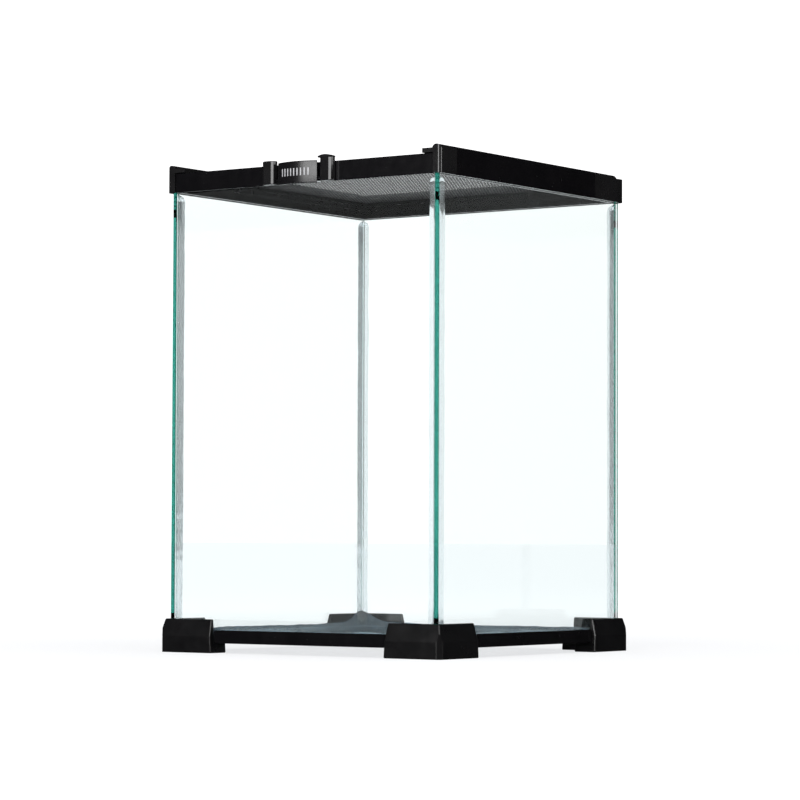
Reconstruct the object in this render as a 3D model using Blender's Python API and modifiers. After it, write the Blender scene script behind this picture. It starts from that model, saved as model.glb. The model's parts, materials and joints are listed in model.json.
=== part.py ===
"""A small upright glass terrarium for a pet: a square tank of glued panes on a black plastic base,
with a black top frame whose side rails carry a sliding screen lid and its finger latch.

Metres, +Z up, the front of the tank towards -Y. The tank is built about the axis of its glass,
and one empty moves it so that the origin lies under the middle of its whole box.
"""

import math

import bmesh
import bpy
from mathutils import Matrix, Vector

# Driving sizes
WIDTH = 0.200  # over the glass, side to side and front to back
HEIGHT = 0.300  # from the surface it stands on to the top of the side ridges
GLASS = 0.003  # thickness of every pane
GAP = 0.0003  # between pieces that touch, and round the ones that slide
HALF = WIDTH / 2
INNER = HALF - GLASS  # inner face of the walls
LAP = INNER - GAP  # how far a piece between the walls reaches
ARRIS = 0.0004  # ground-off edge of the glass
BEYOND = 0.01  # how far a cutter runs past what it cuts
ROUND_STEPS = 2  # flats across a round upright edge
CORNERS = (
    ("front_left", -1, -1),
    ("front_right", 1, -1),
    ("back_left", -1, 1),
    ("back_right", 1, 1),
)

# Base
FOOT_HEIGHT = 0.0205
FOOT_OUT = HALF + 0.0048  # outer face of a foot at the bottom
FOOT_TOP_OUT = HALF + 0.0022  # the same at its top
FOOT_WAIST = 0.010  # height where the outer face starts to lean in
FOOT_LEG = 0.0404  # length of each of a foot's two wings
FOOT_DRAFT = 0.0014  # how much shorter a wing is at its top
FOOT_CHAMFER = 0.0028  # leg of the flat that cuts its upright outer corner
FOOT_EDGE = 0.0006  # the small radius on its other edges
PAD_WIDTH = 0.015
BASE_TOP = 0.008  # the ledge that the glass stands on
RAIL_LOW = 0.006
RAIL_HIGH = 0.014
RAIL_OUT = HALF + 0.0023
RAIL_FLANGE_IN = 0.086
RAIL_EDGE = 0.0003
GLASS_LOW = BASE_TOP + GAP
FLOOR_TOP = GLASS_LOW + GLASS

# Sealant
BEAD = 0.005  # leg of the bead in each upright corner
BEAD_TOP = 0.2822
FLOOR_BEAD = 0.004
COVE_STEPS = 5

# Top frame. A distance called out or in is measured from the axis of the tank.
FRAME_OUT = HALF + 0.0024
FRAME_LOW = 0.283
LIP_TOP = 0.2979
LIP_LOW = 0.2952
LIP_IN = FRAME_OUT - 0.013
RIDGE_RADIUS = 0.003
RIDGE_END = 0.0940  # where a side ridge stops, near the back
RIDGE_SWEEP = 162  # degrees of its round side, before it meets the lip
RIDGE_STEPS = 18
RIDGE_SHRINK = 0.00005  # keeps the end of the ridge clear of the faces of the corner it joins
CHANNEL_OUT = INNER - 0.0001  # outer side of the channel that the lid slides in
LEDGE_TOP = 0.290
LEDGE_LOW = 0.288
LEDGE_IN = 0.090
SKIRT_IN = 0.0939
FRONT_CORNER_LEG = 0.0176
BACK_CORNER_LEG = 0.034
CORNER_CHAMFER = 0.0013  # leg of the flat that cuts the upright outer corner
CHAMFER_EASE = 0.0003  # breaks the two edges of such a flat
FRAME_EDGE = 0.0004
END_REACH = 0.001  # how far the closed end of a front corner runs behind the glass line and up
WALL_GLASS_TOP = LEDGE_LOW - GAP
FRONT_GLASS_TOP = 0.2837  # behind the lid's bar, so that no light shows under the bar

# Lid
LID_OUT = CHANNEL_OUT - GAP
LID_IN = 0.085
LID_LOW = LEDGE_TOP + GAP
LID_TOP = LIP_LOW - GAP
REBATE_OUT = 0.089
SCREEN_LOW = 0.2923
SCREEN_THICKNESS = 0.0005
RETAINER_LOW = SCREEN_LOW + SCREEN_THICKNESS + GAP
BAR_FRONT = HALF + 0.0017
BAR_BACK = LID_OUT + GAP
BAR_LOW = FRAME_LOW
BAR_BODY_LOW = FRONT_GLASS_TOP + GAP  # the part of the bar over the front pane
BAR_EDGE = 0.0004

# Latch
POST_IN = 0.017  # the posts stand this far each side of the middle
POST_OUT = 0.0262
POST_BACK = BAR_FRONT + GAP
POST_FRONT = POST_BACK + 0.0042
POST_TOP = 0.2973
POST_ROUND = 0.0020
POST_EDGE = 0.0004
CAP_RIM = 0.0004  # thickness of the domed cap at its ends
CAP_DOME = 0.0010  # how much higher its middle is
CAP_OVERHANG = 0.0005
CAP_SINK = 0.0004  # how deep it is let into its post
CAP_STEPS = 8
PIN_RADIUS = 0.0007
PIN_HOLE = 0.00095
PIN_SHORT = 0.0014  # how far inside a post's outer side the pin ends
PIN_END_PLAY = 0.0004
PIN_SIDES = 16
PIVOT_DEPTH = 0.1034
PIVOT_HEIGHT = 0.2852
PLATE_HALF = 0.0145
PLATE_LOW = 0.2827
PLATE_TOP = 0.2957
PLATE_THICKNESS = 0.0018
PLATE_END = 0.1049  # outer face of the plate at its two ends
PLATE_BULGE = 0.0038  # how far its middle stands in front of its ends
PLATE_STEPS = 16
KNUCKLE_RADIUS = 0.00155
KNUCKLE_IN = 0.0106
KNUCKLE_OUT = 0.0139
ARM_FRONT = 0.1051
ARM_INSET = 0.0002  # how much thinner an arm is than its knuckle, above and below
WEB_CLEAR = 0.0003  # between the nose and the bore
WEB_REACH = 0.001  # how far the nose runs into each knuckle
NOSE_BACK = 0.0990
NOSE_LOW = FRONT_GLASS_TOP + 0.0004
NOSE_TOP = 0.2853
NOTCH_HALF = 0.0148
NOTCH_TOP = 0.290
NOTCH_BACK = 0.0982

PLATE_FRONT = PLATE_END + PLATE_BULGE
SHIFT_Y = (PLATE_FRONT - FOOT_OUT) / 2  # puts the middle of the whole box over the origin

PARTS = "terrarium"
CUTTERS = "terrarium_cutters"


def clear_scene():
    for old in list(bpy.data.objects):
        bpy.data.objects.remove(old, do_unlink=True)


def collection(name):
    found = bpy.data.collections.get(name)
    if found is None:
        found = bpy.data.collections.new(name)
        bpy.context.scene.collection.children.link(found)
    return found


def material(name, colour, roughness, metallic=0.0, clear=0.0):
    made = bpy.data.materials.new(name)
    made.use_nodes = True
    shader = made.node_tree.nodes["Principled BSDF"]
    shader.inputs["Base Color"].default_value = (*colour, 1.0)
    shader.inputs["Roughness"].default_value = roughness
    shader.inputs["Metallic"].default_value = metallic
    shader.inputs["Transmission Weight"].default_value = clear
    return made


def empty(name, place, parent=None):
    made = bpy.data.objects.new(name, None)
    made.location = place
    made.parent = parent
    collection(PARTS).objects.link(made)
    return made


def add(name, bm, look, parent, group=PARTS):
    """Turns a bmesh in tank coordinates into an object that hangs from its parent."""
    bm.normal_update()
    bmesh.ops.recalc_face_normals(bm, faces=bm.faces)
    mesh = bpy.data.meshes.new(name)
    bm.to_mesh(mesh)
    bm.free()
    made = bpy.data.objects.new(name, mesh)
    collection(group).objects.link(made)
    made.parent = parent
    if parent.parent:
        mesh.transform(Matrix.Translation(-parent.location))
    if look:
        mesh.materials.append(look)
    return made


def box_bmesh(low, high):
    bm = bmesh.new()
    bmesh.ops.create_cube(bm, size=1.0)
    low, high = Vector(low), Vector(high)
    for vert in bm.verts:
        vert.co = Vector((low[i] + high[i]) / 2 + vert.co[i] * abs(high[i] - low[i]) for i in range(3))
    return bm


def block(name, low, high, look, parent, edge=0.0, segments=1):
    made = add(name, box_bmesh(low, high), look, parent)
    if edge:
        round_edges(made, edge, segments)
    return made


def rod_bmesh(radius, start, end, sides=24):
    """A cylinder between two points."""
    start, end = Vector(start), Vector(end)
    bm = bmesh.new()
    bmesh.ops.create_cone(
        bm, cap_ends=True, segments=sides, radius1=radius, radius2=radius, depth=(end - start).length
    )
    turn = (end - start).to_track_quat("Z", "Y").to_matrix().to_4x4()
    bmesh.ops.transform(bm, matrix=Matrix.Translation((start + end) / 2) @ turn, verts=bm.verts)
    return bm


def prism_bmesh(outline, lift):
    """An outline of 3-D points, extruded by a vector."""
    bm = bmesh.new()
    face = bm.faces.new([bm.verts.new(point) for point in outline])
    grown = bmesh.ops.extrude_face_region(bm, geom=[face])
    moved = [item for item in grown["geom"] if isinstance(item, bmesh.types.BMVert)]
    bmesh.ops.translate(bm, vec=Vector(lift), verts=moved)
    return bm


def square_ring(name, section, look, parent):
    """A section of (distance from the axis, height) pairs, turned in four steps into a square ring."""
    mesh = bpy.data.meshes.new(name)
    count = len(section)
    points = [(out * math.sqrt(2), 0, height) for out, height in section]
    mesh.from_pydata(points, [(i, (i + 1) % count) for i in range(count)], [])
    mesh.materials.append(look)
    made = bpy.data.objects.new(name, mesh)
    collection(PARTS).objects.link(made)
    made.parent = parent
    if parent.parent:
        made.location = -parent.location
    made.rotation_euler.z = math.radians(45)
    turned = made.modifiers.new("turn", "SCREW")
    turned.steps = 4
    turned.render_steps = 4
    turned.use_merge_vertices = True
    turned.merge_threshold = 0.00001
    turned.use_smooth_shade = False
    return made


def cutter(name, bm, parent):
    made = add(name, bm, None, parent, CUTTERS)
    made.hide_render = True
    made.display_type = "WIRE"
    return made


def combine(target, tool, operation):
    step = target.modifiers.new(operation.lower(), "BOOLEAN")
    step.operation = operation
    step.solver = "EXACT"
    step.object = tool
    return step


def cut(target, bm, label):
    tool = cutter(f"{target.name}_{label}", bm, target.parent)
    combine(target, tool, "DIFFERENCE")


def join(target, bm, label):
    tool = cutter(f"{target.name}_{label}", bm, target.parent)
    combine(target, tool, "UNION")


def keep(target, bm, label):
    tool = cutter(f"{target.name}_{label}", bm, target.parent)
    combine(target, tool, "INTERSECT")


def round_edges(target, width, segments=1, angle=40):
    step = target.modifiers.new("edges", "BEVEL")
    step.width = width
    step.segments = segments
    step.limit_method = "ANGLE"
    step.angle_limit = math.radians(angle)


def arc(centre, radius, start, end, steps):
    """Points from one angle to another, in degrees, both included."""
    turn = [math.radians(start + (end - start) * i / steps) for i in range(steps + 1)]
    return [(centre[0] + radius * math.cos(a), centre[1] + radius * math.sin(a)) for a in turn]


def ordered(a, b):
    return min(a, b), max(a, b)


def chamfer_corner(target, out, leg, x_side, y_side):
    """Cuts a flat across the upright outer corner of a piece, where two faces lie this far out."""
    slope = CHAMFER_EASE / math.sqrt(2)
    start = out - leg - CHAMFER_EASE
    low, high = out - leg + slope, out - slope
    waste = [(start, out), (low, high), (high, low), (out, start)]
    waste += [(out + BEYOND, start), (out + BEYOND, out + BEYOND), (start, out + BEYOND)]
    outline = [(x_side * x, y_side * y, -BEYOND) for x, y in waste]
    cut(target, prism_bmesh(outline, (0, 0, HEIGHT + 2 * BEYOND)), "chamfer")


def front_rounded_bmesh(low, high, radius):
    """A box whose two upright edges towards -Y are round."""
    outline = [(low[0], high[1]), (high[0], high[1])]
    outline += reversed(arc((high[0] - radius, low[1] + radius), radius, -90, 0, ROUND_STEPS))
    outline += reversed(arc((low[0] + radius, low[1] + radius), radius, 180, 270, ROUND_STEPS))
    return prism_bmesh([(x, y, low[2]) for x, y in outline], (0, 0, high[2] - low[2]))


def mirrored_block(side, near, far, rest_low, rest_high):
    """Corners of a box whose X runs from near to far on one side of the tank."""
    low_x, high_x = ordered(side * near, side * far)
    return (low_x, *rest_low), (high_x, *rest_high)


# Glass


def glass_panes(look, parent):
    block("floor_pane", (-LAP, -LAP, GLASS_LOW), (LAP, LAP, FLOOR_TOP), look, parent, ARRIS)
    for name, side in (("left_pane", -1), ("right_pane", 1)):
        low, high = mirrored_block(side, INNER, HALF, (-HALF, GLASS_LOW), (HALF, WALL_GLASS_TOP))
        block(name, low, high, look, parent, ARRIS)
    for name, side, top in (("front_pane", -1, FRONT_GLASS_TOP), ("back_pane", 1, WALL_GLASS_TOP)):
        low_y, high_y = ordered(side * INNER, side * HALF)
        block(name, (-LAP, low_y, GLASS_LOW), (LAP, high_y, top), look, parent, ARRIS)


def sealant(look, parent):
    """A cove of sealant round the floor, and one up each inside corner."""
    hollow = arc((LAP - FLOOR_BEAD, FLOOR_TOP + GAP + FLOOR_BEAD), FLOOR_BEAD, 0, -90, COVE_STEPS)
    square_ring("floor_sealant", [(LAP, FLOOR_TOP + GAP)] + hollow[::-1], look, parent)
    start = FLOOR_TOP + 2 * GAP + FLOOR_BEAD
    cove = arc((LAP - BEAD, LAP - BEAD), BEAD, 0, 90, COVE_STEPS)
    for name, x_side, y_side in CORNERS:
        outline = [(x_side * LAP, y_side * LAP, start)]
        outline += [(x_side * x, y_side * y, start) for x, y in cove]
        add(f"sealant_{name}", prism_bmesh(outline, (0, 0, BEAD_TOP - start)), look, parent)


# Base


def foot_region(x_side, y_side):
    """The room of one foot, whose inner sides lean towards the corner as they rise."""
    near = FOOT_OUT - FOOT_LEG
    far = FOOT_OUT + BEYOND
    bm = box_bmesh((near, near, -BEYOND), (far, far, FOOT_HEIGHT + BEYOND))
    for vert in bm.verts:
        lean = FOOT_DRAFT * (vert.co.z / FOOT_HEIGHT)
        vert.co.x += lean if vert.co.x < HALF - FOOT_LEG / 2 else 0
        vert.co.y += lean if vert.co.y < HALF - FOOT_LEG / 2 else 0
    for vert in bm.verts:
        vert.co.x *= x_side
        vert.co.y *= y_side
    return bm


def feet(look, parent):
    wall_in = HALF + GAP
    pad_in = FOOT_OUT - PAD_WIDTH
    section = [
        (FOOT_TOP_OUT, FOOT_HEIGHT),
        (FOOT_OUT, FOOT_WAIST),
        (FOOT_OUT, 0),
        (pad_in, 0),
        (pad_in, BASE_TOP),
        (wall_in, BASE_TOP),
        (wall_in, FOOT_HEIGHT),
    ]
    for name, x_side, y_side in CORNERS:
        foot = square_ring(f"foot_{name}", section, look, parent)
        keep(foot, foot_region(x_side, y_side), "region")
        round_edges(foot, FOOT_EDGE, 2, 35)
        chamfer_corner(foot, FOOT_OUT, FOOT_CHAMFER, x_side, y_side)


def base_rails(look, parent):
    wall_in = HALF + GAP
    section = [
        (RAIL_OUT, RAIL_HIGH),
        (RAIL_OUT, RAIL_LOW),
        (RAIL_FLANGE_IN, RAIL_LOW),
        (RAIL_FLANGE_IN, BASE_TOP),
        (wall_in, BASE_TOP),
        (wall_in, RAIL_HIGH),
    ]
    reach = FOOT_OUT - FOOT_LEG - GAP
    for name, turns in (("front", 0), ("right", 1), ("back", 2), ("left", 3)):
        outline = [(-reach, -out, height) for out, height in section]
        bm = prism_bmesh(outline, (2 * reach, 0, 0))
        bmesh.ops.rotate(bm, matrix=Matrix.Rotation(math.radians(90 * turns), 3, "Z"), verts=bm.verts)
        rail = add(f"base_rail_{name}", bm, look, parent)
        round_edges(rail, RAIL_EDGE)


# Top frame


def frame_section(ridge):
    """The rail's section: a skin outside the glass, one inside it, the ledge and the lip."""
    crown = [(FRAME_OUT, LIP_TOP)]
    if ridge:
        middle = (FRAME_OUT - RIDGE_RADIUS, HEIGHT - RIDGE_RADIUS)
        crown = arc(middle, RIDGE_RADIUS, 0, RIDGE_SWEEP, RIDGE_STEPS)
        crown[-1] = (crown[-1][0], LIP_TOP)
    return [
        (HALF + GAP, FRAME_LOW),
        (FRAME_OUT, FRAME_LOW),
        *crown,
        (LIP_IN, LIP_TOP),
        (LIP_IN, LIP_LOW),
        (CHANNEL_OUT, LIP_LOW),
        (CHANNEL_OUT, LEDGE_TOP),
        (LEDGE_IN, LEDGE_TOP),
        (LEDGE_IN, LEDGE_LOW),
        (SKIRT_IN, LEDGE_LOW),
        (SKIRT_IN, FRAME_LOW),
        (LAP, FRAME_LOW),
        (LAP, LEDGE_LOW),
        (HALF + GAP, LEDGE_LOW),
    ]


def side_length(side, start, end):
    """A length of side rail as a bmesh."""
    outline = [(side * out, start, height) for out, height in frame_section(True)]
    return prism_bmesh(outline, (0, end - start, 0))


def side_rails(look, parent):
    front, back = FRONT_CORNER_LEG + GAP - FRAME_OUT, FRAME_OUT - BACK_CORNER_LEG - GAP
    for name, side in (("left", -1), ("right", 1)):
        add(f"side_rail_{name}", side_length(side, front, back), look, parent)
    reach = back
    outline = [(-reach, out, height) for out, height in frame_section(False)]
    add("back_rail", prism_bmesh(outline, (2 * reach, 0, 0)), look, parent)


def front_corners(look, parent):
    """Each closes the end of a rail, and leaves room for the lid's front bar to pass under its lip."""
    for name, side in (("left", -1), ("right", 1)):
        bm = side_length(side, -FRAME_OUT, FRONT_CORNER_LEG - FRAME_OUT)
        corner = add(f"corner_front_{name}", bm, look, parent)
        low, high = mirrored_block(
            side,
            CHANNEL_OUT,
            HALF + END_REACH,
            (-FRAME_OUT, FRAME_LOW),
            (-HALF - GAP, LEDGE_LOW + END_REACH),
        )
        join(corner, box_bmesh(low, high), "end")
        low, high = mirrored_block(
            side,
            LIP_IN - BEYOND,
            CHANNEL_OUT,
            (-FRAME_OUT - BEYOND, FRAME_LOW - BEYOND),
            (-LAP, LIP_LOW),
        )
        cut(corner, box_bmesh(low, high), "way")
        round_edges(corner, FRAME_EDGE, 1, 50)
        chamfer_corner(corner, FRAME_OUT, CORNER_CHAMFER, side, -1)


def back_corners(look, parent):
    near = FRAME_OUT - BACK_CORNER_LEG
    for name, side in (("left", -1), ("right", 1)):
        corner = square_ring(f"corner_back_{name}", frame_section(False)[::-1], look, parent)
        far = FRAME_OUT + BEYOND
        low, high = mirrored_block(side, near, far, (near, FRAME_LOW - BEYOND), (far, HEIGHT + BEYOND))
        keep(corner, box_bmesh(low, high), "region")
        middle = side * (FRAME_OUT - RIDGE_RADIUS)
        height = HEIGHT - RIDGE_RADIUS
        start, end = (middle, near, height), (middle, RIDGE_END, height)
        join(corner, rod_bmesh(RIDGE_RADIUS - RIDGE_SHRINK, start, end), "ridge")
        round_edges(corner, FRAME_EDGE, 1, 50)
        chamfer_corner(corner, FRAME_OUT, CORNER_CHAMFER, side, 1)


# Lid


def lid_ring(look_frame, look_screen, parent):
    """The frame with its rebate, the thin screen in the rebate, and the strip that holds it down."""
    section = [
        (LID_OUT, LID_TOP),
        (LID_OUT, LID_LOW),
        (LID_IN, LID_LOW),
        (LID_IN, SCREEN_LOW - GAP),
        (REBATE_OUT, SCREEN_LOW - GAP),
        (REBATE_OUT, LID_TOP),
    ]
    square_ring("lid_frame", section, look_frame, parent)
    reach = REBATE_OUT - GAP
    top = SCREEN_LOW + SCREEN_THICKNESS
    block("screen", (-reach, -reach, SCREEN_LOW), (reach, reach, top), look_screen, parent)
    strip = [(reach, LID_TOP), (reach, RETAINER_LOW), (LID_IN, RETAINER_LOW), (LID_IN, LID_TOP)]
    square_ring("screen_retainer", strip, look_frame, parent)


def front_bar(look, parent):
    """A bar over the top edge of the front pane, with a lip down in front of the glass."""
    section = [
        (-BAR_FRONT, BAR_LOW),
        (-BAR_FRONT, LID_TOP),
        (-BAR_BACK, LID_TOP),
        (-BAR_BACK, BAR_BODY_LOW),
        (-HALF - GAP, BAR_BODY_LOW),
        (-HALF - GAP, BAR_LOW),
    ]
    outline = [(-LID_OUT, y, height) for y, height in section]
    bar = add("lid_front_bar", prism_bmesh(outline, (2 * LID_OUT, 0, 0)), look, parent)
    notch = box_bmesh(
        (-NOTCH_HALF, -BAR_FRONT - BEYOND, BAR_LOW - BEYOND), (NOTCH_HALF, -NOTCH_BACK, NOTCH_TOP)
    )
    cut(bar, notch, "notch")
    round_edges(bar, BAR_EDGE)


def cap_bmesh():
    """The cap of the right post: flat below, domed above, and wider than the post."""
    low, high = POST_IN - CAP_OVERHANG, POST_OUT
    half = (high - low) / 2
    radius = (half**2 + CAP_DOME**2) / (2 * CAP_DOME)
    spread = math.degrees(math.asin(half / radius))
    middle = (low + half, POST_TOP + CAP_RIM + CAP_DOME - radius)
    dome = arc(middle, radius, 90 + spread, 90 - spread, CAP_STEPS)
    outline = [(low, POST_TOP - CAP_SINK), *dome, (high, POST_TOP - CAP_SINK)]
    depth = POST_FRONT + CAP_OVERHANG - POST_BACK
    return prism_bmesh([(x, -POST_BACK, height) for x, height in outline], (0, -depth, 0))


def posts(look, parent):
    """Two posts on the bar with the hole for the latch's pin, and a domed cap on the right one."""
    for name, side in (("left", -1), ("right", 1)):
        low, high = mirrored_block(
            side, POST_IN, POST_OUT, (-POST_FRONT, BAR_LOW), (-POST_BACK, POST_TOP)
        )
        post = add(f"latch_post_{name}", front_rounded_bmesh(low, high, POST_ROUND), look, parent)
        round_edges(post, POST_EDGE, 1, 50)
        if side > 0:
            join(post, cap_bmesh(), "cap")
        start = (side * (POST_IN - BEYOND), -PIVOT_DEPTH, PIVOT_HEIGHT)
        end = (side * (POST_OUT - PIN_SHORT + PIN_END_PLAY), -PIVOT_DEPTH, PIVOT_HEIGHT)
        cut(post, rod_bmesh(PIN_HOLE, start, end, PIN_SIDES), "hole")


def latch_pin(look, parent):
    reach = POST_OUT - PIN_SHORT
    start = (-reach, -PIVOT_DEPTH, PIVOT_HEIGHT)
    end = (reach, -PIVOT_DEPTH, PIVOT_HEIGHT)
    pin = add("latch_pin", rod_bmesh(PIN_RADIUS, start, end, PIN_SIDES), look, parent)
    pin.data.shade_smooth()
    pin.data.set_sharp_from_angle(angle=math.radians(50))


def plate_outline():
    """Plan of the curved plate: an arc through its ends and its middle, and one inside it."""
    radius = (PLATE_HALF**2 + PLATE_BULGE**2) / (2 * PLATE_BULGE)
    spread = math.degrees(math.asin(PLATE_HALF / radius))
    middle = (0, -PLATE_FRONT + radius)
    outer = arc(middle, radius, 270 - spread, 270 + spread, PLATE_STEPS)
    inner = arc(middle, radius - PLATE_THICKNESS, 270 + spread, 270 - spread, PLATE_STEPS)
    return outer + inner


def latch(look, parent):
    """The curved finger plate, the knuckles that turn on the pin, and the nose that bears on the glass."""
    outline = [(x, y, PLATE_LOW) for x, y in plate_outline()]
    plate = add("latch_plate", prism_bmesh(outline, (0, 0, PLATE_TOP - PLATE_LOW)), look, parent)
    for name, side in (("left", -1), ("right", 1)):
        start = (side * KNUCKLE_IN, -PIVOT_DEPTH, PIVOT_HEIGHT)
        end = (side * KNUCKLE_OUT, -PIVOT_DEPTH, PIVOT_HEIGHT)
        join(plate, rod_bmesh(KNUCKLE_RADIUS, start, end, PIN_SIDES), f"knuckle_{name}")
        half_arm = KNUCKLE_RADIUS - ARM_INSET
        low, high = mirrored_block(
            side,
            KNUCKLE_IN,
            KNUCKLE_OUT,
            (-ARM_FRONT, PIVOT_HEIGHT - half_arm),
            (-PIVOT_DEPTH, PIVOT_HEIGHT + half_arm),
        )
        join(plate, box_bmesh(low, high), f"arm_{name}")
    web = box_bmesh(
        (-KNUCKLE_IN - WEB_REACH, -PIVOT_DEPTH + PIN_HOLE + WEB_CLEAR, NOSE_LOW),
        (KNUCKLE_IN + WEB_REACH, -NOSE_BACK, NOSE_TOP),
    )
    join(plate, web, "nose")
    start = (-POST_IN, -PIVOT_DEPTH, PIVOT_HEIGHT)
    end = (POST_IN, -PIVOT_DEPTH, PIVOT_HEIGHT)
    cut(plate, rod_bmesh(PIN_HOLE, start, end, PIN_SIDES), "bore")


def build():
    clear_scene()
    tank = empty("tank", (0, SHIFT_Y, 0))
    lid = empty("lid", (0, -LID_OUT, LID_LOW), tank)
    pivot = Vector((0, -PIVOT_DEPTH, PIVOT_HEIGHT))
    latch_axis = empty("latch_axis", pivot, tank)

    clear_glass = material("float_glass", (0.86, 0.95, 0.92), 0.02, clear=1.0)
    silicone = material("clear_silicone", (0.72, 0.80, 0.82), 0.25, clear=0.7)
    base_plastic = material("base_plastic", (0.012, 0.012, 0.013), 0.45)
    frame_plastic = material("frame_plastic", (0.014, 0.013, 0.015), 0.40)
    latch_plastic = material("latch_plastic", (0.016, 0.015, 0.018), 0.25)
    steel_mesh = material("steel_mesh", (0.06, 0.06, 0.065), 0.30, metallic=0.9)
    pin_steel = material("pin_steel", (0.05, 0.05, 0.05), 0.30, metallic=1.0)

    glass_panes(clear_glass, tank)
    sealant(silicone, tank)
    feet(base_plastic, tank)
    base_rails(base_plastic, tank)
    side_rails(frame_plastic, tank)
    front_corners(frame_plastic, tank)
    back_corners(frame_plastic, tank)
    lid_ring(frame_plastic, steel_mesh, lid)
    front_bar(frame_plastic, lid)
    posts(frame_plastic, lid)
    latch_pin(pin_steel, lid)
    latch(latch_plastic, latch_axis)


build()
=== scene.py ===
"""The looks of the small glass terrarium, built round its CAD frame.

Metres, +Z up, the front towards -Y. Places come from the frame's own boxes, and the finer
sizes are named below.
"""

import json
import math

import bmesh
import bpy
from mathutils import Matrix, Vector, noise

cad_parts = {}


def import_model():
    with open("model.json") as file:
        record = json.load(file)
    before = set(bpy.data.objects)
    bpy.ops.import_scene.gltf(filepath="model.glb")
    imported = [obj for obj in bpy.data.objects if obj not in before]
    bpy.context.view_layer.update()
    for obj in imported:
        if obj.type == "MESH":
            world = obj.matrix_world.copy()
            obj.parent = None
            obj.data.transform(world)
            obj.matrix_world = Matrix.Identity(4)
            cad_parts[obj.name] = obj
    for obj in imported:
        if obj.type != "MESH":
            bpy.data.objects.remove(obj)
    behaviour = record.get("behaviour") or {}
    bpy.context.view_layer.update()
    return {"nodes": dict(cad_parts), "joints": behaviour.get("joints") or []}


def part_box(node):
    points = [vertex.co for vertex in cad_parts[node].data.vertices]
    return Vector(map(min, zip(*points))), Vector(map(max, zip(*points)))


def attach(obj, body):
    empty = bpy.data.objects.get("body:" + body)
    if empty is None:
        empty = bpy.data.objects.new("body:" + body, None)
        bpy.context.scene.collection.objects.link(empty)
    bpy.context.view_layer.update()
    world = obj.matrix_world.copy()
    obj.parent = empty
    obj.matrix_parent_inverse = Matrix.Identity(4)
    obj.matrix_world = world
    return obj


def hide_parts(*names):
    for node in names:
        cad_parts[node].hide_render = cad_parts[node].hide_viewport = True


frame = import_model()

MM = 0.001

# Places read from the frame
FRONT_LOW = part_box("front_pane")[0]
BACK_LOW, BACK_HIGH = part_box("back_pane")
SCREEN_LOW, SCREEN_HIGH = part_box("screen")
PLATE_LOW, PLATE_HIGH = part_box("latch_plate")
BEAD_LOW, BEAD_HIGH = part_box("sealant_front_right")
PIVOT = Vector(next(j["pos_m"] for j in frame["joints"] if j["name"] == "latch_pivot"))
MIDDLE_Y = (FRONT_LOW.y + BACK_HIGH.y) / 2
WALL_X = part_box("right_pane")[0].x  # inner face of the side walls, each side of the middle
WALL_Y = BACK_LOW.y - MIDDLE_Y  # inner face of the front and back walls
FLOOR_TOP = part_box("floor_pane")[1].z
CORNERS = (
    ("front_left", -1, -1),
    ("front_right", 1, -1),
    ("back_left", -1, 1),
    ("back_right", 1, 1),
)

# Camera, aimed at the tank's near corner from below its middle
CAMERA_PLACE = (1.1487, MIDDLE_Y - 1.6204, 0.0685)
CAMERA_TURN = (math.radians(92.538), math.radians(-0.187), math.radians(35.283))
CAMERA_LENS = 143.2
SENSOR = 36.0

# Sealant
SKIN = 0.05 * MM  # between the sealant and what it sticks to
BEAD_LEG = BEAD_HIGH.x - BEAD_LOW.x
BEAD_STEP = 1.5 * MM
BEAD_ROUND = BEAD_LEG * 0.9  # height of an upright bead's rounded top
BEAD_THINNEST = 0.25 * MM
BEAD_WAVES = ((0.08, 60.0), (0.03, 260.0))  # share and scale of the slow wave and of the fine one
COVE_STEPS = 7
COVE_DEPTH = 0.8  # how hollow an upright bead is: 1 is a quarter circle, 0 is square
FLOOR_LEG = 4.2 * MM
FLOOR_RISE = 3.0 * MM
FLOOR_STEPS = 96  # along each wall
RISE_WAVES = ((0.3, 45.0), (0.1, 220.0))
LEG_WAVES = ((0.35, 38.0), (0.1, 200.0))
# Rise and spread, in mm, in the front left, front right, back right and back left corners
FLOOR_SWELLS = ((2.5, 5.0), (3.0, 6.0), (2.0, 5.0), (8.0, 12.0))
SWELL_LEG = 0.45  # how much of a corner's rise its width gains too

# Screen
HOLE_PITCH = 2.2 * MM  # along a row
ROW_PITCH = 1.93 * MM
HOLE_FLAT = 1.3 * MM  # across the flats of one hole
SHEET_THICKNESS = 0.09 * MM
SCREEN_INSET = 2.8 * MM  # about how far the outermost holes stay from the screen's edge
SCREEN_REACH = SCREEN_HIGH.x - SCREEN_INSET

# Latch plate
PLATE_BULGE = 3.6 * MM
PLATE_THICKNESS = 1.8 * MM
PLATE_STEPS = 48
PLATE_ROUND = 0.55 * MM
PLATE_ROUND_STEPS = 5
PLATE_SETBACK = 0.25 * MM  # leaves room for the grip marks inside the CAD plate's box
PLATE_DROP = 0.5 * MM  # how far the plate hangs below its CAD twin, to hide the gap over the glass
KNUCKLE_RADIUS = 1.55 * MM
KNUCKLE_IN = 10.6 * MM
KNUCKLE_OUT = 13.9 * MM
ROD_SIDES = 32
ARM_REACH = 1.75 * MM  # from the pin's axis forward into the plate
ARM_HALF = 1.3 * MM  # half of an arm's height
ARM_ROUND = 0.2 * MM
NOSE_SIDE = 1.0 * MM  # how far the nose passes the inner end of a knuckle
NOSE_START = 1.25 * MM  # behind the pin's axis
NOSE_BELOW = 1.1 * MM  # its bottom, below the axis
NOSE_ABOVE = 0.1 * MM  # its top, above the axis
NOSE_ROUND = 0.25 * MM
GRIP_COUNT = 9
GRIP_PITCH = 2.4 * MM
GRIP_SIZE = (0.85 * MM, 0.3 * MM, 4.6 * MM)
GRIP_ROUND = 0.14 * MM

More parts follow.
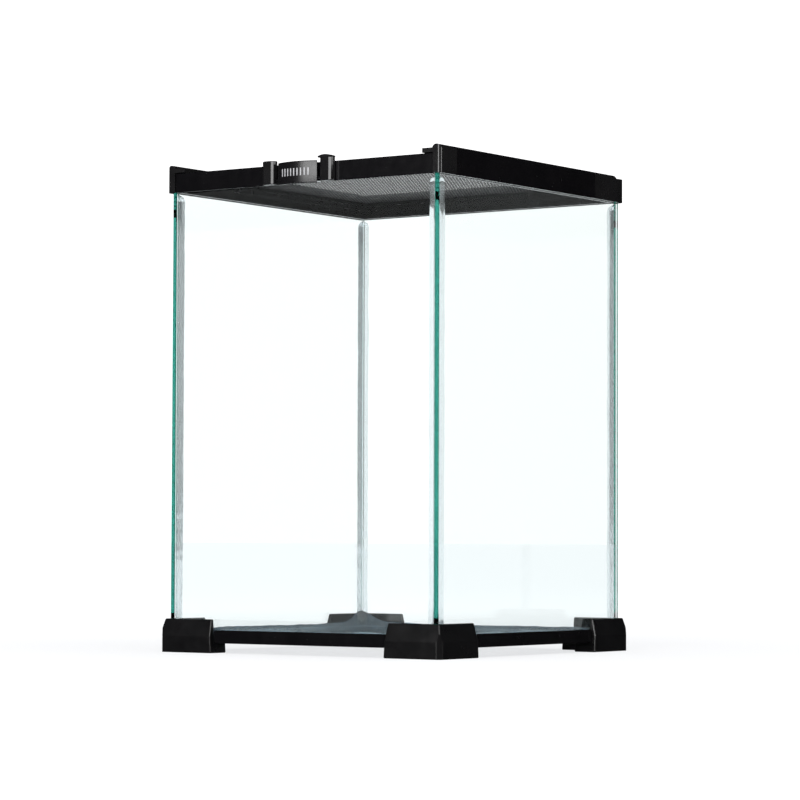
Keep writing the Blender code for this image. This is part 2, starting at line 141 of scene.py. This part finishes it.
# Studio
FLOOR_HALF = 60.0  # half of the floor's width
FLOOR_GLOW_WITH_PAINTED_SHADOW = (0.74, 0.95)  # emission near the tank and far from it; the lower value near it is a painted shadow round the tank
PAINTED_SHADOW_REACH = (0.25, 1.2)  # the distances from the middle that the glow changes between, so the spread of the painted shadow
SKY = 1.3
SKY_MIRRORED = 0.04
SKY_SHARE = 0.32  # what is left of it after one to three mirrorings
LIGHT_AIM = Vector((0, 0, 0.15))
BOUNCES = 64


# Making objects


def link(made):
    bpy.context.scene.collection.objects.link(made)
    return made


def piece(name, bm, look, body, smooth_angle=None):
    """A mesh piece, modelled in place, that rides on a body and has a material slot."""
    bmesh.ops.recalc_face_normals(bm, faces=bm.faces)
    mesh = bpy.data.meshes.new(name)
    bm.to_mesh(mesh)
    bm.free()
    if smooth_angle:
        mesh.shade_smooth()
        mesh.set_sharp_from_angle(angle=math.radians(smooth_angle))
    mesh.materials.append(look)
    made = link(bpy.data.objects.new(name, mesh))
    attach(made, body)
    return made


def loft(sections, closed_ends=True):
    """A bmesh through a row of sections that all have the same number of points."""
    bm = bmesh.new()
    rings = [[bm.verts.new(point) for point in section] for section in sections]
    count = len(rings[0])
    for near, far in zip(rings, rings[1:]):
        for i in range(count):
            j = (i + 1) % count
            bm.faces.new((near[i], near[j], far[j], far[i]))
    if closed_ends:
        bm.faces.new(rings[0])
        bm.faces.new(reversed(rings[-1]))
    return bm


def wobble(place, seed, scale):
    """Smooth noise from -1 to 1 along one length."""
    return noise.noise(Vector((place * scale, seed * 7.3, seed * 1.9)))


def uneven(place, waves, slow_seed, fine_seed):
    """A factor near 1 that changes along one length, in a slow wave and a finer one."""
    (slow_share, slow_scale), (fine_share, fine_scale) = waves
    slow = slow_share * wobble(place, slow_seed, slow_scale)
    fine = fine_share * wobble(place, fine_seed, fine_scale)
    return 1 + slow + fine


def quarter(steps, start=0.0, turn=90.0):
    """Angles in radians at equal steps through a turn in degrees."""
    return [math.radians(start + turn * i / steps) for i in range(steps + 1)]


# Materials


def new_material(name):
    made = bpy.data.materials.new(name)
    made.use_nodes = True
    tree = made.node_tree
    return made, tree, tree.nodes["Principled BSDF"]


def object_noise(tree, scale, detail=2.0, roughness=0.5, stretch=(1, 1, 1)):
    """Noise fixed to the object, mostly between 0.3 and 0.7."""
    place = tree.nodes.new("ShaderNodeTexCoord")
    turned = tree.nodes.new("ShaderNodeMapping")
    turned.inputs["Scale"].default_value = stretch
    grain = tree.nodes.new("ShaderNodeTexNoise")
    grain.inputs["Scale"].default_value = scale
    grain.inputs["Detail"].default_value = detail
    grain.inputs["Roughness"].default_value = roughness
    tree.links.new(place.outputs["Object"], turned.inputs["Vector"])
    tree.links.new(turned.outputs["Vector"], grain.inputs["Vector"])
    return grain.outputs["Fac"]


def ranged(tree, value, low, high, from_low=0.3, from_high=0.7):
    """A value spread over the range from low to high."""
    spread = tree.nodes.new("ShaderNodeMapRange")
    spread.inputs["From Min"].default_value = from_low
    spread.inputs["From Max"].default_value = from_high
    spread.inputs["To Min"].default_value = low
    spread.inputs["To Max"].default_value = high
    tree.links.new(value, spread.inputs["Value"])
    return spread.outputs["Result"]


def two_tone(tree, value, dark, light):
    """A colour that goes from dark to light with the value."""
    ramp = tree.nodes.new("ShaderNodeValToRGB")
    ramp.color_ramp.elements[0].position = 0.35
    ramp.color_ramp.elements[0].color = (*dark, 1.0)
    ramp.color_ramp.elements[1].position = 0.7
    ramp.color_ramp.elements[1].color = (*light, 1.0)
    tree.links.new(value, ramp.inputs["Fac"])
    return ramp.outputs["Color"]


def bumped(tree, shader, value, strength, depth):
    bump = tree.nodes.new("ShaderNodeBump")
    bump.inputs["Strength"].default_value = strength
    bump.inputs["Distance"].default_value = depth
    tree.links.new(value, bump.inputs["Height"])
    tree.links.new(bump.outputs["Normal"], shader.inputs["Normal"])


def absorbing(tree, colour, density):
    inside = tree.nodes.new("ShaderNodeVolumeAbsorption")
    inside.inputs["Color"].default_value = (*colour, 1.0)
    inside.inputs["Density"].default_value = density
    tree.links.new(inside.outputs["Volume"], tree.nodes["Material Output"].inputs["Volume"])


def glass_material():
    """Float glass: clear across its thickness and green along its length, with faint wiping marks."""
    made, tree, shader = new_material("float_glass")
    shader.inputs["Base Color"].default_value = (1, 1, 1, 1)
    shader.inputs["IOR"].default_value = 1.5
    shader.inputs["Transmission Weight"].default_value = 1.0
    wiped = object_noise(tree, 14.0, detail=4.0, roughness=0.6, stretch=(1, 1, 0.35))
    marks = ranged(tree, wiped, 0.0, 0.02, from_low=0.5, from_high=0.8)
    tree.links.new(marks, shader.inputs["Roughness"])
    absorbing(tree, (0.0, 0.60, 0.533), 15.0)
    return made


def sealant_material(name, colour, clear, tint, density):
    """Silicone: milky to a degree, coloured by the depth that is looked through."""
    made, tree, shader = new_material(name)
    shader.inputs["Base Color"].default_value = (*colour, 1)
    shader.inputs["IOR"].default_value = 1.41
    shader.inputs["Transmission Weight"].default_value = clear
    cloud = object_noise(tree, 160.0, detail=3.0)
    tree.links.new(ranged(tree, cloud, 0.03, 0.12), shader.inputs["Roughness"])
    bumped(tree, shader, object_noise(tree, 200.0), 0.06, 0.3 * MM)
    absorbing(tree, tint, density)
    return made


def moulded_material(name, tones, roughness, grain, depth, specular):
    """Black moulding: fine spark-eroded grain, and a finish that changes slowly over the surface."""
    made, tree, shader = new_material(name)
    shader.inputs["Specular IOR Level"].default_value = specular
    cloud = object_noise(tree, 55.0, detail=3.0)
    tree.links.new(two_tone(tree, cloud, *tones), shader.inputs["Base Color"])
    rubbed = object_noise(tree, 130.0, detail=4.0, roughness=0.6)
    tree.links.new(ranged(tree, rubbed, *roughness), shader.inputs["Roughness"])
    bumped(tree, shader, object_noise(tree, grain), 0.5, depth)
    return made


def screen_material():
    """Powder-coated punched sheet."""
    made, tree, shader = new_material("screen_sheet")
    cloud = object_noise(tree, 40.0, detail=3.0)
    colour = two_tone(tree, cloud, (0.004, 0.004, 0.005), (0.010, 0.010, 0.011))
    tree.links.new(colour, shader.inputs["Base Color"])
    shader.inputs["Specular IOR Level"].default_value = 0.12
    rubbed = object_noise(tree, 300.0)
    tree.links.new(ranged(tree, rubbed, 0.35, 0.50), shader.inputs["Roughness"])
    bumped(tree, shader, object_noise(tree, 2500.0), 0.4, 0.03 * MM)
    return made


def pin_material():
    """Blackened wire, with the marks of its drawing along it."""
    made, tree, shader = new_material("black_wire")
    shader.inputs["Metallic"].default_value = 1.0
    drawn = object_noise(tree, 500.0, stretch=(0.05, 1, 1))
    colour = two_tone(tree, drawn, (0.03, 0.03, 0.035), (0.07, 0.07, 0.07))
    tree.links.new(colour, shader.inputs["Base Color"])
    tree.links.new(ranged(tree, drawn, 0.22, 0.42), shader.inputs["Roughness"])
    return made


def mark_material():
    """Grey grip marks, worn unevenly."""
    made, tree, shader = new_material("grip_mark")
    worn = object_noise(tree, 900.0, detail=3.0)
    colour = two_tone(tree, worn, (0.20, 0.20, 0.21), (0.30, 0.30, 0.31))
    tree.links.new(colour, shader.inputs["Base Color"])
    tree.links.new(ranged(tree, worn, 0.35, 0.5), shader.inputs["Roughness"])
    return made


GLASS = glass_material()
SEALANT = sealant_material(
    "clear_sealant",
    colour=(0.94, 0.98, 1.0),
    clear=0.88,
    tint=(0.35, 0.66, 0.86),
    density=4.0,
)
FLOOR_SEALANT = sealant_material(
    "floor_sealant",
    colour=(0.45, 0.58, 0.68),
    clear=0.80,
    tint=(0.16, 0.42, 0.56),
    density=170.0,
)
FOOT = moulded_material(
    "foot_plastic",
    tones=((0.0016, 0.0015, 0.0018), (0.0030, 0.0028, 0.0032)),
    roughness=(0.26, 0.38),
    grain=1700.0,
    depth=0.05 * MM,
    specular=0.28,
)
RAIL = moulded_material(
    "rail_plastic",
    tones=((0.0012, 0.0011, 0.0015), (0.0020, 0.0018, 0.0023)),
    roughness=(0.20, 0.28),
    grain=900.0,
    depth=0.012 * MM,
    specular=0.3,
)
CORNER = moulded_material(
    "corner_plastic",
    tones=((0.0030, 0.0029, 0.0032), (0.0048, 0.0046, 0.0049)),
    roughness=(0.20, 0.30),
    grain=1700.0,
    depth=0.03 * MM,
    specular=0.38,
)
LATCH = moulded_material(
    "latch_plastic",
    tones=((0.0024, 0.0023, 0.0027), (0.0040, 0.0038, 0.0043)),
    roughness=(0.22, 0.32),
    grain=2600.0,
    depth=0.06 * MM,
    specular=0.38,
)
SCREEN = screen_material()
PIN = pin_material()
MARK = mark_material()


def look_of(name):
    """The material of a CAD node, from its name."""
    if name.endswith("_pane"):
        return GLASS
    if name.startswith("foot_"):
        return FOOT
    if name.startswith(("corner_", "latch_post")):
        return CORNER
    if name == "latch_pin":
        return PIN
    if "sealant" in name:
        return SEALANT
    return RAIL


def dress_frame():
    """Every CAD node gets its material, also the few that are replaced further down."""
    for name, node in frame["nodes"].items():
        node.data.materials.clear()
        node.data.materials.append(look_of(name))


# Sealant


def upright_bead(name, x_side, y_side, seed):
    """The hand-run bead in one corner: a cove with a round top, uneven along its height."""
    top = BEAD_HIGH.z - abs(wobble(seed, seed, 1.0)) * MM
    bottom = FLOOR_TOP + SKIN
    steps = int((top - bottom) / BEAD_STEP)
    sections = []
    for step in range(steps + 1):
        height = bottom + (top - bottom) * step / steps
        below_round = max(0.0, 1 - (top - height) / BEAD_ROUND)
        rounded = math.sqrt(max(0.0, 1 - below_round**2))
        swell_x = uneven(height, BEAD_WAVES, seed, seed + 9)
        swell_y = uneven(height, BEAD_WAVES, seed + 4, seed + 13)
        leg_x = max(BEAD_THINNEST, BEAD_LEG * swell_x * rounded)
        leg_y = max(BEAD_THINNEST, BEAD_LEG * swell_y * rounded)
        outline = [(SKIN, SKIN), (SKIN, leg_y)]
        for turn in quarter(COVE_STEPS)[1:-1]:
            out_x = leg_x - (leg_x - SKIN) * math.cos(turn) * COVE_DEPTH
            out_y = leg_y - (leg_y - SKIN) * math.sin(turn) * COVE_DEPTH
            outline.append((out_x, out_y))
        outline.append((leg_x, SKIN))
        sections.append(
            [
                (x_side * (WALL_X - u), MIDDLE_Y + y_side * (WALL_Y - v), height)
                for u, v in outline
            ]
        )
    bm = loft(sections)
    made = piece(f"bead_{name}", bm, SEALANT, "tank", 50)
    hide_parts(f"sealant_{name}")


def off_wall(place, wall):
    """A place on the wall moves off it by a skin, and any other stays."""
    if abs(abs(place) - wall) < SKIN:
        return place - math.copysign(SKIN, place)
    return place


def floor_bead():
    """The bead where the walls stand on the floor, thicker in the corners and thickest at the back left."""
    sections = []
    sides = ((-1, -1, 1, 0), (1, -1, 0, 1), (1, 1, -1, 0), (-1, 1, 0, -1))
    length = 2 * WALL_X
    for index, (x_side, y_side, along_x, along_y) in enumerate(sides):
        for step in range(FLOOR_STEPS):
            run = length * step / FLOOR_STEPS
            rise = FLOOR_RISE * uneven(run, RISE_WAVES, index + 20, index + 30)
            leg = FLOOR_LEG * uneven(run, LEG_WAVES, index + 40, index + 50)
            for distance, (lift, spread) in (
                (run, FLOOR_SWELLS[index]),
                (length - run, FLOOR_SWELLS[(index + 1) % 4]),
            ):
                near = math.exp(-((distance / (spread * MM)) ** 2))
                rise += lift * MM * near
                leg += lift * SWELL_LEG * MM * near
            base_x = x_side * WALL_X + along_x * run
            base_y = y_side * WALL_Y + along_y * run
            inner_run = min(max(run, leg), length - leg)
            in_x = x_side * WALL_X + along_x * inner_run - along_y * leg
            in_y = y_side * WALL_Y + along_y * inner_run + along_x * leg
            base_x = off_wall(base_x, WALL_X)
            base_y = off_wall(base_y, WALL_Y)
            outline = [(base_x, base_y, 0.0)]
            for turn in quarter(COVE_STEPS):
                share = 1 - math.cos(turn)
                height = rise * (1 - math.sin(turn))
                outline.append(
                    (base_x + (in_x - base_x) * share, base_y + (in_y - base_y) * share, height)
                )
            sections.append([(x, MIDDLE_Y + y, FLOOR_TOP + SKIN + z) for x, y, z in outline])
    sections.append(sections[0])
    bm = loft(sections, closed_ends=False)
    bmesh.ops.remove_doubles(bm, verts=bm.verts, dist=0.01 * MM)
    made = piece("bead_floor", bm, FLOOR_SEALANT, "tank", 60)
    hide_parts("floor_sealant")


# Screen


def punched_sheet():
    """A thin sheet with six-sided holes in staggered rows, closed along its rough outer edge."""
    rows = int(SCREEN_REACH / ROW_PITCH)
    columns = int(SCREEN_REACH / HOLE_PITCH)
    radius = HOLE_FLAT / 2 / math.cos(math.radians(30))
    turns = [math.radians(30 + 60 * i) for i in range(6)]
    points = []
    first = {}  # each hole's first point, by its column and row
    for row in range(-rows, rows + 1):
        for column in range(-columns, columns + 1):
            first[column, row] = len(points)
            x = (column + (row % 2) / 2) * HOLE_PITCH
            y = MIDDLE_Y + row * ROW_PITCH
            points += [(x + radius * math.cos(t), y + radius * math.sin(t)) for t in turns]
    flats = []
    for (column, row), here in first.items():
        shift = row % 2
        right = first.get((column + 1, row))
        up_right = first.get((column + shift, row + 1))
        up_left = first.get((column + shift - 1, row + 1))
        down_right = first.get((column + shift, row - 1))
        if right is not None:
            flats.append((here + 5, right + 3, right + 2, here))
        if up_right is not None:
            flats.append((here, up_right + 4, up_right + 3, here + 1))
        if up_left is not None:
            flats.append((here + 1, up_left + 5, up_left + 4, here + 2))
        if right is not None and up_right is not None:
            flats.append((here, right + 2, up_right + 4))
        if right is not None and down_right is not None:
            flats.append((here + 5, down_right + 1, right + 3))
    used = {}
    for flat in flats:
        for a, b in zip(flat, flat[1:] + flat[:1]):
            key = (min(a, b), max(a, b))
            used[key] = None if key in used else (a, b)
    count = len(points)
    faces = list(flats)
    faces += [tuple(i + count for i in reversed(flat)) for flat in flats]
    faces += [(a, a + count, b + count, b) for a, b in (e for e in used.values() if e)]
    mesh = bpy.data.meshes.new("punched_screen")
    low = SCREEN_LOW.z
    verts = [(x, y, low + SHEET_THICKNESS) for x, y in points] + [(x, y, low) for x, y in points]
    mesh.from_pydata(verts, [], faces)
    bm = bmesh.new()
    bm.from_mesh(mesh)
    bpy.data.meshes.remove(mesh)
    bmesh.ops.delete(bm, geom=[v for v in bm.verts if not v.link_faces], context="VERTS")
    made = piece("punched_screen", bm, SCREEN, "lid")
    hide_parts("screen")


# Latch


def plate_arc():
    """The radius, half angle and middle of the arc that the plate's face follows."""
    half = PLATE_HIGH.x
    radius = (half**2 + PLATE_BULGE**2) / (2 * PLATE_BULGE)
    return radius, math.asin(half / radius), PLATE_LOW.y + PLATE_SETBACK + radius


def rod(radius, start, end):
    bm = bmesh.new()
    bmesh.ops.create_cone(
        bm,
        cap_ends=True,
        segments=ROD_SIDES,
        radius1=radius,
        radius2=radius,
        depth=(end - start).length,
    )
    turn = (end - start).to_track_quat("Z", "Y").to_matrix().to_4x4()
    bmesh.ops.transform(bm, matrix=Matrix.Translation((start + end) / 2) @ turn, verts=bm.verts)
    return bm


def brick(low, high, edge, segments=2):
    """A box between two corners, with its edges rounded."""
    bm = bmesh.new()
    bmesh.ops.create_cube(bm, size=1.0)
    for vert in bm.verts:
        vert.co = Vector((low[i] + high[i]) / 2 + vert.co[i] * (high[i] - low[i]) for i in range(3))
    bmesh.ops.bevel(bm, geom=bm.edges[:], offset=edge, segments=segments, affect="EDGES", profile=0.5)
    return bm


def latch_plate():
    """The curved finger plate: a round-edged section carried along an arc, with its hinge behind."""
    radius, spread, centre_y = plate_arc()
    low, high = PLATE_LOW.z - PLATE_DROP, PLATE_HIGH.z
    rounding = []
    for corner_depth, corner_z, start in (
        (PLATE_ROUND, high - PLATE_ROUND, 180),
        (PLATE_THICKNESS - PLATE_ROUND, high - PLATE_ROUND, 90),
        (PLATE_THICKNESS - PLATE_ROUND, low + PLATE_ROUND, 0),
        (PLATE_ROUND, low + PLATE_ROUND, -90),
    ):
        rounding += [
            (corner_depth + PLATE_ROUND * math.cos(t), corner_z + PLATE_ROUND * math.sin(t))
            for t in quarter(PLATE_ROUND_STEPS, start, -90)
        ]
    sections = []
    for step in range(PLATE_STEPS + 1):
        angle = -math.pi / 2 - spread + 2 * spread * step / PLATE_STEPS
        sections.append(
            [
                ((radius - d) * math.cos(angle), centre_y + (radius - d) * math.sin(angle), z)
                for d, z in rounding
            ]
        )
    plate = piece("finger_plate", loft(sections), LATCH, "latch", 40)
    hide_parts("latch_plate")
    for name, side in (("left", -1), ("right", 1)):
        start = Vector((side * KNUCKLE_IN, PIVOT.y, PIVOT.z))
        end = Vector((side * KNUCKLE_OUT, PIVOT.y, PIVOT.z))
        bm = rod(KNUCKLE_RADIUS, start, end)
        piece(f"finger_plate_knuckle_{name}", bm, LATCH, "latch", 40)
        arm_low, arm_high = sorted((side * KNUCKLE_IN, side * KNUCKLE_OUT))
        bm = brick(
            (arm_low, PIVOT.y - ARM_REACH, PIVOT.z - ARM_HALF),
            (arm_high, PIVOT.y, PIVOT.z + ARM_HALF),
            ARM_ROUND,
        )
        piece(f"finger_plate_arm_{name}", bm, LATCH, "latch", 40)
    bm = brick(
        (-KNUCKLE_IN - NOSE_SIDE, PIVOT.y + NOSE_START, PIVOT.z - NOSE_BELOW),
        (KNUCKLE_IN + NOSE_SIDE, PLATE_HIGH.y, PIVOT.z + NOSE_ABOVE),
        NOSE_ROUND,
    )
    piece("finger_plate_nose", bm, LATCH, "latch", 40)


def grip_marks():
    """Short raised pads along the plate, for the finger."""
    radius, _, centre_y = plate_arc()
    half = Vector(GRIP_SIZE) / 2
    middle_z = (PLATE_LOW.z + PLATE_HIGH.z) / 2
    for index in range(GRIP_COUNT):
        x = (index - (GRIP_COUNT - 1) / 2) * GRIP_PITCH
        lean = math.asin(x / radius)
        bm = brick(-half, half, GRIP_ROUND, 3)
        place = Vector((x, centre_y - radius * math.cos(lean), middle_z))
        turned = Matrix.Translation(place) @ Matrix.Rotation(lean, 4, "Z")
        bmesh.ops.transform(bm, matrix=turned, verts=bm.verts)
        piece(f"grip_mark_{index + 1}", bm, MARK, "latch", 40)


# Studio


def camera():
    data = bpy.data.cameras.new("camera")
    data.lens = CAMERA_LENS
    data.sensor_width = SENSOR
    made = link(bpy.data.objects.new("camera", data))
    made.location = CAMERA_PLACE
    made.rotation_euler = CAMERA_TURN
    bpy.context.scene.camera = made


def mirror_ray(tree):
    """1 for what a surface mirrors, and 0 for what is seen, lights or comes through glass."""
    ray = tree.nodes.new("ShaderNodeLightPath")
    mirrored = tree.nodes.new("ShaderNodeMath")
    mirrored.operation = "SUBTRACT"
    mirrored.use_clamp = True
    tree.links.new(ray.outputs["Is Glossy Ray"], mirrored.inputs[0])
    tree.links.new(ray.outputs["Is Transmission Ray"], mirrored.inputs[1])
    return mirrored.outputs["Value"]


def floor():
    """A pale floor whose glow is painted dimmer near the tank as a shadow round it, and which is dark where
    it is mirrored.
    """
    bm = bmesh.new()
    bmesh.ops.create_grid(bm, x_segments=1, y_segments=1, size=FLOOR_HALF)
    mesh = bpy.data.meshes.new("studio_floor")
    bm.to_mesh(mesh)
    bm.free()
    made, tree, shader = new_material("studio_floor")
    shader.inputs["Base Color"].default_value = (0.15, 0.15, 0.15, 1)
    shader.inputs["Emission Color"].default_value = (0.97, 0.98, 1.0, 1)
    shader.inputs["Roughness"].default_value = 0.9
    shader.inputs["Specular IOR Level"].default_value = 0.0
    place = tree.nodes.new("ShaderNodeTexCoord")
    distance = tree.nodes.new("ShaderNodeVectorMath")
    distance.operation = "LENGTH"
    tree.links.new(place.outputs["Object"], distance.inputs[0])
    # the emission is lower near the tank: a painted shadow round it, not a cast one
    glow_with_painted_shadow = ranged(tree, distance.outputs["Value"], *FLOOR_GLOW_WITH_PAINTED_SHADOW, *PAINTED_SHADOW_REACH)
    tree.links.new(glow_with_painted_shadow, shader.inputs["Emission Strength"])
    dark = tree.nodes.new("ShaderNodeBsdfDiffuse")
    dark.inputs["Color"].default_value = (0.02, 0.02, 0.02, 1)
    shown = tree.nodes.new("ShaderNodeMixShader")
    tree.links.new(mirror_ray(tree), shown.inputs["Fac"])
    tree.links.new(shader.outputs["BSDF"], shown.inputs[1])
    tree.links.new(dark.outputs["BSDF"], shown.inputs[2])
    tree.links.new(shown.outputs["Shader"], tree.nodes["Material Output"].inputs["Surface"])
    mesh.materials.append(made)
    ground = link(bpy.data.objects.new("studio_floor", mesh))


def soft_box(name, direction, distance, width, height, power):
    data = bpy.data.lights.new(name, "AREA")
    data.shape = "RECTANGLE"
    data.size = width
    data.size_y = height
    data.energy = power
    made = link(bpy.data.objects.new(name, data))
    towards = Vector(direction).normalized()
    made.location = LIGHT_AIM + towards * distance
    made.rotation_euler = towards.to_track_quat("Z", "Y").to_euler()
    made.visible_camera = False
    made.visible_transmission = False


def world():
    """White where it is seen and where it lights, and dim where a surface mirrors it.

    A ray that has been mirrored one to three times on its way gets a smaller share still.
    """
    made = bpy.data.worlds.new("studio")
    bpy.context.scene.world = made
    made.use_nodes = True
    tree = made.node_tree
    background = tree.nodes["Background"]
    background.inputs["Color"].default_value = (1, 1, 1, 1)
    sky = ranged(tree, mirror_ray(tree), SKY, SKY_MIRRORED, from_low=0.0, from_high=1.0)
    ray = tree.nodes.new("ShaderNodeLightPath")
    few = tree.nodes.new("ShaderNodeMath")
    few.operation = "COMPARE"
    few.inputs[1].default_value = 2.0
    few.inputs[2].default_value = 1.5
    tree.links.new(ray.outputs["Glossy Depth"], few.inputs[0])
    share = ranged(tree, few.outputs["Value"], 1.0, SKY_SHARE, from_low=0.0, from_high=1.0)
    strength = tree.nodes.new("ShaderNodeMath")
    strength.operation = "MULTIPLY"
    tree.links.new(sky, strength.inputs[0])
    tree.links.new(share, strength.inputs[1])
    tree.links.new(strength.outputs["Value"], background.inputs["Strength"])


def studio():
    camera()
    floor()
    world()
    soft_box("front_light", (0.174, -0.985, 0.24), distance=1.9, width=1.85, height=0.7, power=44.0)
    soft_box("side_light", (0.99, 0.16, 0.24), distance=1.9, width=0.5, height=0.7, power=9.0)
    soft_box("top_light", (0.15, -0.1, 1.0), distance=1.4, width=1.2, height=1.2, power=10.0)
    scene = bpy.context.scene
    scene.view_settings.view_transform = "Standard"
    scene.cycles.max_bounces = BOUNCES
    scene.cycles.transmission_bounces = BOUNCES
    scene.cycles.glossy_bounces = BOUNCES


studio()
dress_frame()
for index, (corner, x_side, y_side) in enumerate(CORNERS):
    upright_bead(corner, x_side, y_side, index + 1)
floor_bead()
punched_sheet()
latch_plate()
grip_marks()
